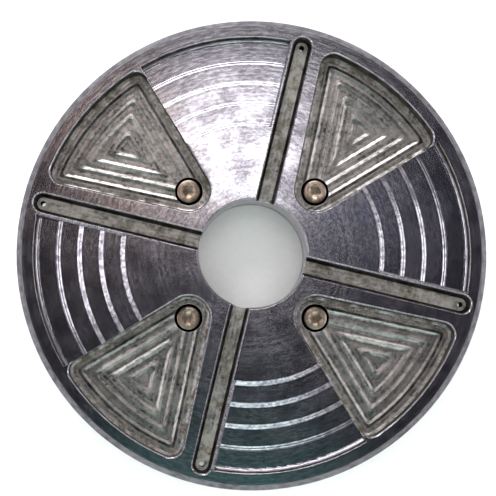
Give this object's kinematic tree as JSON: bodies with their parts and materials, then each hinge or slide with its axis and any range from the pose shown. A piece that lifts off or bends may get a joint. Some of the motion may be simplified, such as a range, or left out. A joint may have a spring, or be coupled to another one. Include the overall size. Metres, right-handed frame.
{
  "type": "face mill",
  "caption": "Disc-type face mill with a pilot bore, turned and pocketed back face, and adjustable cartridges with square inserts on its front face.",
  "frame": {"origin": "on the spindle axis, in the plane of the cutting corners with the cartridges fully drawn in", "axes": "+Z along the spindle axis towards the spindle; +X and +Y lie in the plane of the cutting corners"},
  "size_m": [0.26, 0.26, 0.046],
  "materials": {
    "machined_aluminium": "turned and milled, dull with tool marks",
    "hub_steel": "turned and ground",
    "bright_screw_steel": "zinc plated, worn",
    "black_screw_steel": "black oxide",
    "plated_cartridge_steel": "electroless nickel, satin",
    "coated_carbide": "thin gold nitride coating",
    "hardened_steel": "ground"
  },
  "bodies": {
    "disc_body": {"body_disc": "machined_aluminium", "hub_ring": "hub_steel", "hub_screw_1": "bright_screw_steel", "hub_screw_2": "bright_screw_steel", "hub_screw_3": "bright_screw_steel", "hub_screw_4": "bright_screw_steel", "clamp_screw_1": "black_screw_steel", "clamp_screw_2": "black_screw_steel", "clamp_screw_3": "black_screw_steel", "clamp_screw_4": "black_screw_steel", "thrust_pad_1": "hardened_steel", "thrust_pad_2": "hardened_steel", "thrust_pad_3": "hardened_steel", "thrust_pad_4": "hardened_steel"},
    "cartridge_body_1": {"cartridge_1": "plated_cartridge_steel", "insert_1": "coated_carbide", "insert_screw_1": "black_screw_steel"},
    "adjuster_body_1": {"adjusting_screw_1": "black_screw_steel"},
    "cartridge_body_2": {"cartridge_2": "plated_cartridge_steel", "insert_2": "coated_carbide", "insert_screw_2": "black_screw_steel"},
    "adjuster_body_2": {"adjusting_screw_2": "black_screw_steel"},
    "cartridge_body_3": {"cartridge_3": "plated_cartridge_steel", "insert_3": "coated_carbide", "insert_screw_3": "black_screw_steel"},
    "adjuster_body_3": {"adjusting_screw_3": "black_screw_steel"},
    "cartridge_body_4": {"cartridge_4": "plated_cartridge_steel", "insert_4": "coated_carbide", "insert_screw_4": "black_screw_steel"},
    "adjuster_body_4": {"adjusting_screw_4": "black_screw_steel"}
  },
  "joints": [
    {"name": "adjusting_screw_1_turn", "type": "hinge", "parent": "disc_body", "child": "adjuster_body_1", "pos_m": [0.00762, 0.10087, 0.0104], "axis": [0, 0, 1], "range_deg": [0, 360]},
    {"name": "cartridge_1_set", "type": "slide", "parent": "disc_body", "child": "cartridge_body_1", "axis": [0, 0, -1], "range_m": [0, 0.0005]},
    {"name": "adjusting_screw_2_turn", "type": "hinge", "parent": "disc_body", "child": "adjuster_body_2", "pos_m": [-0.10087, 0.00762, 0.0104], "axis": [0, 0, 1], "range_deg": [0, 360]},
    {"name": "cartridge_2_set", "type": "slide", "parent": "disc_body", "child": "cartridge_body_2", "axis": [0, 0, -1], "range_m": [0, 0.0005]},
    {"name": "adjusting_screw_3_turn", "type": "hinge", "parent": "disc_body", "child": "adjuster_body_3", "pos_m": [-0.00762, -0.10087, 0.0104], "axis": [0, 0, 1], "range_deg": [0, 360]},
    {"name": "cartridge_3_set", "type": "slide", "parent": "disc_body", "child": "cartridge_body_3", "axis": [0, 0, -1], "range_m": [0, 0.0005]},
    {"name": "adjusting_screw_4_turn", "type": "hinge", "parent": "disc_body", "child": "adjuster_body_4", "pos_m": [0.10087, -0.00762, 0.0104], "axis": [0, 0, 1], "range_deg": [0, 360]},
    {"name": "cartridge_4_set", "type": "slide", "parent": "disc_body", "child": "cartridge_body_4", "axis": [0, 0, -1], "range_m": [0, 0.0005]}
  ],
  "couplings": [
    {"joint": "adjusting_screw_1_turn", "follows": "cartridge_1_set", "rad_per_m": 12566},
    {"joint": "adjusting_screw_2_turn", "follows": "cartridge_2_set", "rad_per_m": 12566},
    {"joint": "adjusting_screw_3_turn", "follows": "cartridge_3_set", "rad_per_m": 12566},
    {"joint": "adjusting_screw_4_turn", "follows": "cartridge_4_set", "rad_per_m": 12566}
  ]
}
